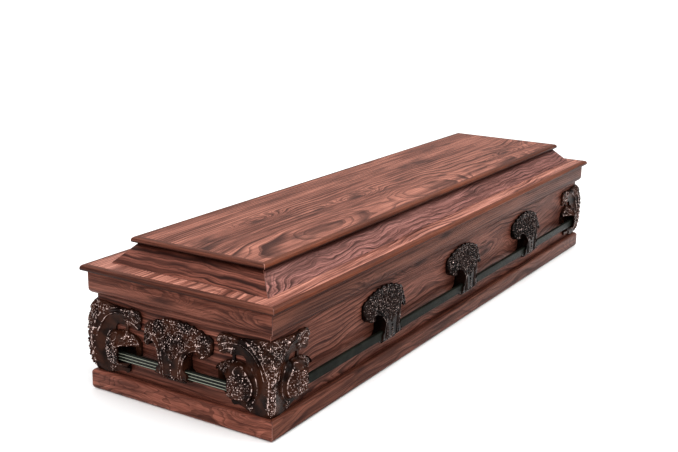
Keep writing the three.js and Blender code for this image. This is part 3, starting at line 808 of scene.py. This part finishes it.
def fineForm(node, toLocal):
    # the CAD solid in its own frame in millimetres, its triangles merged and remeshed evenly
    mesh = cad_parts[node].data.copy()
    mesh.transform(Matrix.Scale(1 / mm, 4) @ toLocal)
    holder = linked("fineForm", facedOut(mesh))
    even = holder.modifiers.new("even", "REMESH")
    even.mode = "VOXEL"
    even.voxel_size = castFinish["voxel"] / mm
    even.use_smooth_shade = True
    return asPlainMesh(holder, "fineForm")


def thinned(mesh):
    # the carved form with fewer faces where it is flat
    holder = linked("thinned", mesh)
    fewer = holder.modifiers.new("fewer", "DECIMATE")
    fewer.ratio = castFinish["keptShare"]
    return asPlainMesh(holder, "thinned")


def spotsOf(mesh):
    flat = np.empty(len(mesh.vertices) * 3)
    mesh.vertices.foreach_get("co", flat)
    return flat.reshape(-1, 3)


def frontDepth(mesh, bases, directions):
    # how far out the first surface lies when looked at from outside along each direction
    form = bmesh.new()
    form.from_mesh(mesh)
    tree = BVHTree.FromBMesh(form)
    form.free()
    reach = castFinish["lookFrom"]
    depths = np.full(len(bases), -1.0)
    for i, (base, direction) in enumerate(zip(bases, directions)):
        start = Vector(base + direction * reach)
        hit = tree.ray_cast(start, -Vector(direction))[0]
        if hit is not None:
            depths[i] = reach - (hit - start).length
    return depths


def moveFront(mesh, spots, bases, directions, depths, wanted, rubAndPaintedLight):
    # moves the skin of the front to the wanted depth and keeps backs, slots and hollows
    front = frontDepth(mesh, bases, directions)
    skin, most = castFinish["skin"], castFinish["mostChange"]
    change = wanted - front
    far = ease(2 * most, 3 * most, np.abs(change))
    near = ease(0, 1, (depths - (front - skin)) / (skin - castFinish["skinEnd"]))
    share = np.where(front > 0, near, 0) * (1 - far)
    change = np.clip(change, -most, most)
    moved = np.clip(spots + directions * (share * change)[:, None], spots.min(0), spots.max(0))
    mesh.vertices.foreach_set("co", moved.ravel())
    # the rub for the lacquer, and below 0 its painted shade
    rubAndPaintedShade = mesh.attributes.new("rubAndPaintedShade", "FLOAT", "POINT")
    rubAndPaintedShade.data.foreach_set("value", (share * rubAndPaintedLight).astype(np.float32))
    mesh.update()


def reliefDepth(form, relief, size, values):
    # the form is sunk to make room for the relief on it
    sunk = form - values["sunk"] * ease(*castFinish["sinkRange"], form)
    return np.minimum(sunk + relief, size["depth"] - castFinish["clearance"])


def cornerLean(u):
    # near the corner the depth is measured more and more along the diagonal
    return np.maximum(0, 1 - u / cornerSize["turnShare"]) * (pi / 4)


def carveCorner(mesh):
    spots = spotsOf(mesh)
    mirrored = spots[:, 1] > spots[:, 0]
    x = np.where(mirrored, spots[:, 1], spots[:, 0])
    y = np.where(mirrored, spots[:, 0], spots[:, 1])
    reach = cornerSize["reach"]
    low, high = np.zeros(len(x)), np.full(len(x), cornerSize["turnTo"])
    for _ in range(cornerSize["turnSteps"]):
        u = (low + high) / 2
        short = reach * u + np.tan(cornerLean(u)) * np.minimum(y, 0) < x
        low, high = np.where(short, u, low), np.where(short, high, u)
    lean = cornerLean(u)
    depths = -y / np.cos(lean)
    z = spots[:, 2]
    w = (z - cornerSize["low"]) / (cornerSize["high"] - cornerSize["low"])
    relief, rubAndPaintedLight = reliefAt(u * reach, z, cornerRelief)
    wanted = reliefDepth(cornerSize["depth"] * cornerForm(u, w, cornerSize), relief, cornerSize, cornerRelief)
    flat = np.zeros(len(x))
    baseX, baseY, dirX, dirY = u * reach, flat, -np.sin(lean), -np.cos(lean)
    bases = np.stack([np.where(mirrored, baseY, baseX), np.where(mirrored, baseX, baseY), z], 1)
    directions = np.stack([np.where(mirrored, dirY, dirX), np.where(mirrored, dirX, dirY), flat], 1)
    moveFront(mesh, spots, bases, directions, depths, wanted, rubAndPaintedLight)


def carveMiddle(mesh):
    spots = spotsOf(mesh)
    x, z = spots[:, 0], spots[:, 2]
    w = (z - middleSize["low"]) / (middleSize["high"] - middleSize["low"])
    relief, rubAndPaintedLight = reliefAt(np.abs(x), z, middleRelief)
    form = middleSize["depth"] * middleForm(x / middleSize["reach"], w, middleSize)
    wanted = reliefDepth(form, relief, middleSize, middleRelief)
    bases = np.stack([x, np.zeros(len(x)), z], 1)
    directions = np.tile((0.0, -1.0, 0.0), (len(x), 1))
    moveFront(mesh, spots, bases, directions, -spots[:, 1], wanted, rubAndPaintedLight)


# Berries and beads: small domes that stand on the castings where the form is set with fruit
berryValues = dict(
    groundShare=0.6, pitch=7.0, rowShare=0.87, jitter=0.13, size=4.0, sizeSpread=0.4, sink=1.2,
    segments=8, rings=4, rubSlope=1.75, rubStart=-0.5, rubRange=(-1, 1.15),
    seeds=dict(cornerFields=7, cornerSizes=3, middleField=11, middleSizes=5),
    cornerFields=[
        [(0, 240), (66, 239), (44, 226), (22, 204), (12, 182), (5, 158), (0, 156)],
        [(46, 152), (60, 160), (92, 150), (97, 130), (96, 104), (78, 90), (56, 92), (48, 110), (45, 130)],
    ],
    cornerSprig=[(0, y) for y in range(60, 156, 7)],
    middleField=[
        (0, 239), (42, 237), (74, 227), (98, 210), (105, 200), (104, 186), (92, 182), (84, 196), (58, 198),
        (34, 172), (14, 158), (0, 156),
    ],
)


def makeBerryTree():
    tree = bpy.data.node_groups.new("berries", "GeometryNodeTree")
    addSockets(tree, "INPUT", "Geometry", "Spots")
    addSockets(tree, "INPUT", "Float", "Size", "Size Spread")
    addSockets(tree, "INPUT", "Int", "Seed", "Segments", "Rings")
    addSockets(tree, "INPUT", "Material", "Material")
    addSockets(tree, "OUTPUT", "Geometry", "Berries")
    ins = put(tree, "NodeGroupInput").outputs
    dome = put(tree, "GeometryNodeMeshUVSphere", {
        "Radius": 1.0, "Segments": ins["Segments"], "Rings": ins["Rings"],
    }).outputs[0]
    spread = put(tree, "FunctionNodeRandomValue", {"Seed": ins["Seed"], 3: 1.0}, data_type="FLOAT")
    link(tree, calc(tree, "SUBTRACT", 1.0, ins["Size Spread"]), spread.inputs[2])
    size = calc(tree, "MULTIPLY", spread.outputs[1], ins["Size"])
    strewn = put(tree, "GeometryNodeInstanceOnPoints", {
        "Points": ins["Spots"], "Instance": dome, "Scale": size,
    })
    finishTree(tree, strewn.outputs[0], ins)
    return tree


def gridSpots(outline, values, seed):
    # a jittered honeycomb of spots inside an outline
    points = np.array(outline, float)
    draw = np.random.default_rng(seed)
    pitch = values["pitch"]
    rows = np.arange(points[:, 1].min(), points[:, 1].max(), pitch * values["rowShare"])
    spots = []
    for number, z in enumerate(rows):
        across = np.arange(points[:, 0].min() + (number % 2) * pitch / 2, points[:, 0].max(), pitch)
        spots += [(s, z) for s in across]
    spots = np.array(spots) + draw.uniform(-values["jitter"], values["jitter"], (len(spots), 2)) * pitch
    return spots[inside(spots[:, 0], spots[:, 1], points)]


def offRelief(spots, relief):
    # berries fill the ground between leaves and rims
    height = reliefAt(spots[:, 0], spots[:, 1], relief)[0]
    return spots[height < relief["leafHeight"] * berryValues["groundShare"]]


def landedOn(mesh, bases, directions, deepest, values):
    # where each spot meets the carved front, just below its skin; no berry passes the greatest depth
    front = frontDepth(mesh, bases, directions)
    kept = front > castFinish["leastDepth"]
    depths = np.minimum(front - values["sink"], deepest - values["size"] - castFinish["clearance"])
    return (bases + directions * depths[:, None])[kept]


def cornerBerrySpots(mesh, values):
    seed = values["seeds"]["cornerFields"]
    fields = [gridSpots(field, values, seed + n) for n, field in enumerate(values["cornerFields"])]
    places = [(s, z, side) for field in fields for s, z in offRelief(field, cornerRelief) for side in (0, 1)]
    places += [(s, z, 0) for s, z in values["cornerSprig"]]
    spots = np.array(places)
    lean = cornerLean(np.abs(spots[:, 0]) / cornerSize["reach"])
    flat = np.zeros(len(spots))
    swapped = (spots[:, 2] == 1)[:, None]
    bases = np.stack([spots[:, 0], flat, spots[:, 1]], 1)
    directions = np.stack([-np.sin(lean), -np.cos(lean), flat], 1)
    order = [1, 0, 2]
    bases = np.where(swapped, bases[:, order], bases)
    directions = np.where(swapped, directions[:, order], directions)
    return landedOn(mesh, bases, directions, cornerSize["depth"], values)


def middleBerrySpots(mesh, values):
    half = gridSpots(values["middleField"], values, values["seeds"]["middleField"])
    half = offRelief(half, middleRelief)
    spots = np.vstack([half, half * (-1, 1), middleRelief["beads"]])
    bases = np.stack([spots[:, 0], np.zeros(len(spots)), spots[:, 1]], 1)
    directions = np.tile((0.0, -1.0, 0.0), (len(spots), 1))
    return landedOn(mesh, bases, directions, middleSize["depth"], values)


def berriesOn(spots, seed, values):
    points = bpy.data.meshes.new("berrySpots")
    points.from_pydata([tuple(p) for p in spots], [], [])
    holder = linked("berrySpots", points)
    addModifierTree(holder, berryTree, {
        "Size": values["size"], "Size Spread": values["sizeSpread"], "Seed": seed,
        "Segments": values["segments"], "Rings": values["rings"], "Material": lacquer,
    })
    berries = asPlainMesh(holder, "berries")
    rubAndPaintedShade = berries.attributes.new("rubAndPaintedShade", "FLOAT", "POINT")
    normals = np.empty(len(berries.vertices) * 3, np.float32)
    berries.vertices.foreach_get("normal", normals)
    outward = -normals.reshape(-1, 3)[:, :2].min(1)
    # berry tops facing out are rubbed to metal; their flanks go below 0 and take painted shade
    rubAndPaintedLight = np.clip(values["rubSlope"] * outward + values["rubStart"], *values["rubRange"])
    rubAndPaintedShade.data.foreach_set("value", rubAndPaintedLight.astype(np.float32))
    berries.shade_smooth()
    return berries


def joinedMesh(name, *meshes):
    holders = [linked(name, mesh) for mesh in meshes]
    bpy.ops.object.select_all(action="DESELECT")
    for holder in holders:
        holder.select_set(True)
    bpy.context.view_layer.objects.active = holders[0]
    bpy.ops.object.join()
    mesh = holders[0].data
    bpy.data.objects.remove(holders[0])
    return mesh


# Near-black brown lacquer, rubbed through to bright metal where the relief stands highest, with painted
# shade, near black, in the grooves and on the berries' flanks
lacquerValues = dict(
    name="vineLacquer", grooveAndPaintedShade=(0.0015, 0.001, 0.0008), deep=(0.009, 0.0038, 0.0026),
    warm=(0.048, 0.0175, 0.0098), cloud=dict(scale=22, low=0.35, high=0.65), paintedShadeRange=(-0.5, 0.1),
    metal=(0.66, 0.5, 0.46), metallic=0.9, rubFrom=0.73, rubTo=1.07,
    patch=dict(scale=150, detail=3, roughness=0.6, low=0.34, high=0.6), patchShare=(0.55, 1.12),
    sheen=dict(scale=700, low=0.3, high=0.7), roughness=(0.09, 0.22), shine=0.09,
    grain=dict(scale=380, detail=3, roughness=0.6), grainHeight=0.0007, bump=0.5,
)
shadedSideLacquerValues = dict(  # a copy for the long sides' castings, darker as painted shade, and rubbed less
    lacquerValues, name="shadedSideVineLacquer", deep=(0.004, 0.002, 0.0015), warm=(0.014, 0.006, 0.004),
    rubFrom=0.84, rubTo=1.1, roughness=(0.08, 0.21), shine=0.12,
)


def makeLacquer(values):
    material, tree, shader = newMaterial(values["name"])
    place = put(tree, "ShaderNodeTexCoord").outputs["Object"]
    rubAndPaintedShade = put(tree, "ShaderNodeAttribute", attribute_name="rubAndPaintedShade").outputs["Fac"]
    crest = calc(tree, "MULTIPLY", rubAndPaintedShade, patches(tree, place, values["patch"], *values["patchShare"]))
    rubAndPaintedLight = smoothRange(tree, crest, values["rubFrom"], values["rubTo"])
    color = mixColor(tree, patches(tree, place, values["cloud"]), values["deep"], values["warm"])
    # painted shade: near black where the value sinks below 0, in grooves and on berry flanks
    grooveAndPaintedShade = smoothRange(tree, rubAndPaintedShade, *values["paintedShadeRange"], 1.0, 0.0)
    color = mixColor(tree, grooveAndPaintedShade, color, values["grooveAndPaintedShade"])
    color = mixColor(tree, rubAndPaintedLight, color, values["metal"])
    link(tree, color, shader.inputs["Base Color"])
    link(tree, calc(tree, "MULTIPLY", rubAndPaintedLight, values["metallic"]), shader.inputs["Metallic"])
    addFinish(tree, shader, place, values)
    return material


lacquer = makeLacquer(lacquerValues)
shadedSideLacquer = makeLacquer(shadedSideLacquerValues)
berryTree = makeBerryTree()


def madeCasting(name, node, toLocal, carve, berrySpots, seed):
    form = fineForm(node, toLocal)
    carve(form)
    form.materials.clear()
    form.materials.append(lacquer)
    berries = berriesOn(berrySpots(form, berryValues), seed, berryValues)
    return joinedMesh(name, thinned(form), berries)


def addCasting(name, form, move, paint):
    mesh = form.copy()
    for i in range(len(mesh.materials)):
        mesh.materials[i] = paint
    mesh.transform(move @ Matrix.Scale(mm, 4))
    mesh.name = name
    mesh.shade_smooth()
    mesh.set_sharp_from_angle(angle=radians(castFinish["smoothAngle"]))
    settle(linked(f"{name}Dressed", mesh), "cast_lacquer", name)


def addCastings(seeds):
    node, toLocal = "corner_casting_front_foot", Matrix.Translation((bodyHalf.x, bodyHalf.y, 0))
    corner = madeCasting("cornerCasting", node, toLocal, carveCorner, cornerBerrySpots, seeds["cornerSizes"])
    places = dict(
        front_foot=(-1, -1, 0), front_head=(1, -1, pi / 2), back_head=(1, 1, pi), back_foot=(-1, 1, -pi / 2),
    )
    for place, (x, y, turn) in places.items():
        move = Matrix.Translation((x * bodyHalf.x, y * bodyHalf.y, 0)) @ Matrix.Rotation(turn, 4, "Z")
        addCasting(f"corner_casting_{place}", corner, move, lacquer)
    node, toLocal = "middle_casting_front_2", Matrix.Translation((0, bodyHalf.y, 0))
    middle = madeCasting("middleCasting", node, toLocal, carveMiddle, middleBerrySpots, seeds["middleSizes"])
    for node in sorted(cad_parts):
        if node.startswith("middle_casting"):
            low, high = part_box(node)
            spot = (low + high) / 2
            side = sides[node.split("_")[2]]
            along = spot.x * np.cos(side["turn"]) + spot.y * np.sin(side["turn"])
            move = Matrix.Rotation(side["turn"], 4, "Z") @ Matrix.Translation((along, -side["across"], 0))
            addCasting(node, middle, move, lacquer if side["run"] == "end" else shadedSideLacquer)


addCastings(berryValues["seeds"])
print("castings made")


# Carrying bars: fluted ones on the ends, plain ones with eased edges on the long sides
barFinish = dict(ribs=3, ribShare=0.5, grooveDepth=2.0 * mm, edgeRounding=2.2 * mm, steps=6)


def flutedOutline(back, front, low, high, values):
    # half-round ribs with flat grooves between them, as (out, height)
    pitch = (high - low) / values["ribs"]
    half = pitch * values["ribShare"] / 2
    points = [(back, low), (front - values["grooveDepth"], low)]
    for rib in range(values["ribs"]):
        middle = low + pitch * (rib + 0.5)
        for i in range(values["steps"] * 2 + 1):
            angle = -pi / 2 + pi * i / (values["steps"] * 2)
            out = front - values["grooveDepth"] * (1 - np.cos(angle))
            points.append((out, middle + half * np.sin(angle)))
    return points + [(front - values["grooveDepth"], high), (back, high)]


def plainOutline(back, front, low, high, values):
    radius = values["edgeRounding"]
    points = [(back, low)]
    for centre, start in (((front - radius, low + radius), -pi / 2), ((front - radius, high - radius), 0)):
        for i in range(values["steps"] + 1):
            angle = start + (pi / 2) * i / values["steps"]
            points.append((centre[0] + radius * np.cos(angle), centre[1] + radius * np.sin(angle)))
    return points + [(back, high)]


def addBar(side, material):
    turn, halfAcross, run = (sides[side][key] for key in ("turn", "across", "run"))
    low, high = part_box(f"carrying_bar_{side}")
    length = (high.x - low.x if run == "long" else high.y - low.y) / 2
    nearFace = [abs(v) for v in ((low.y, high.y) if run == "long" else (low.x, high.x))]
    back, front = min(nearFace) - halfAcross, max(nearFace) - halfAcross
    outline = (plainOutline if run == "long" else flutedOutline)(back, front, low.z, high.z, barFinish)
    form = bmesh.new()
    ends = [[form.verts.new((x, -(halfAcross + out), z)) for out, z in outline] for x in (-length, length)]
    for i in range(len(outline)):
        j = (i + 1) % len(outline)
        form.faces.new((ends[0][i], ends[0][j], ends[1][j], ends[1][i]))
    form.faces.new(ends[0])
    form.faces.new(ends[1])
    form.transform(Matrix.Rotation(turn, 4, "Z"))
    mesh = bpy.data.meshes.new(f"carrying_bar_{side}")
    form.to_mesh(mesh)
    form.free()
    mesh.materials.append(material)
    finishedBoard(f"carrying_bar_{side}", mesh, "bar_lacquer")


barPaint = dict(
    patch=dict(scale=24, detail=3, low=0.35, high=0.7), sheen=dict(scale=160, low=0.3, high=0.7),
    grain=dict(scale=500), grainHeight=0.0002, bump=0.4, crest=(0.05, 0.16),
)


def makeBarPaint(values):
    material, tree, shader = newMaterial(values["name"])
    place = put(tree, "ShaderNodeTexCoord").outputs["Object"]
    color = mixColor(tree, patches(tree, place, values["patch"]), values["dark"], values["light"])
    if "rubAndPaintedLight" in values:  # the crests of the ribs get a painted highlight
        level = put(tree, "ShaderNodeSeparateXYZ", {0: place}).outputs["Z"]
        ribs = calc(tree, "DIVIDE", calc(tree, "SUBTRACT", level, values["low"]), values["pitch"])
        fromCrest = calc(tree, "ABSOLUTE", calc(tree, "SUBTRACT", calc(tree, "FRACT", ribs), 0.5))
        bright = smoothRange(tree, fromCrest, *values["crest"], 1.0, 0.0)
        color = mixColor(tree, bright, color, values["rubAndPaintedLight"])
    link(tree, color, shader.inputs["Base Color"])
    addFinish(tree, shader, place, values)
    return material


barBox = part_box("carrying_bar_foot")
flutedPaint = makeBarPaint(dict(
    barPaint, name="flutedBarPaint", dark=(0.008, 0.009, 0.007), light=(0.016, 0.018, 0.014),
    # the rib crests' colour on the next line is a painted highlight
    rubAndPaintedLight=(0.27, 0.28, 0.225), roughness=(0.25, 0.38), shine=0.2,
    low=barBox[0].z, pitch=(barBox[1].z - barBox[0].z) / barFinish["ribs"],
))
plainPaint = makeBarPaint(dict(
    barPaint, name="plainBarPaint", dark=(0.006, 0.007, 0.005), light=(0.013, 0.015, 0.011),
    roughness=(0.37, 0.5), shine=0.1,
))
for side, values in sides.items():
    addBar(side, plainPaint if values["run"] == "long" else flutedPaint)
print("bars made")
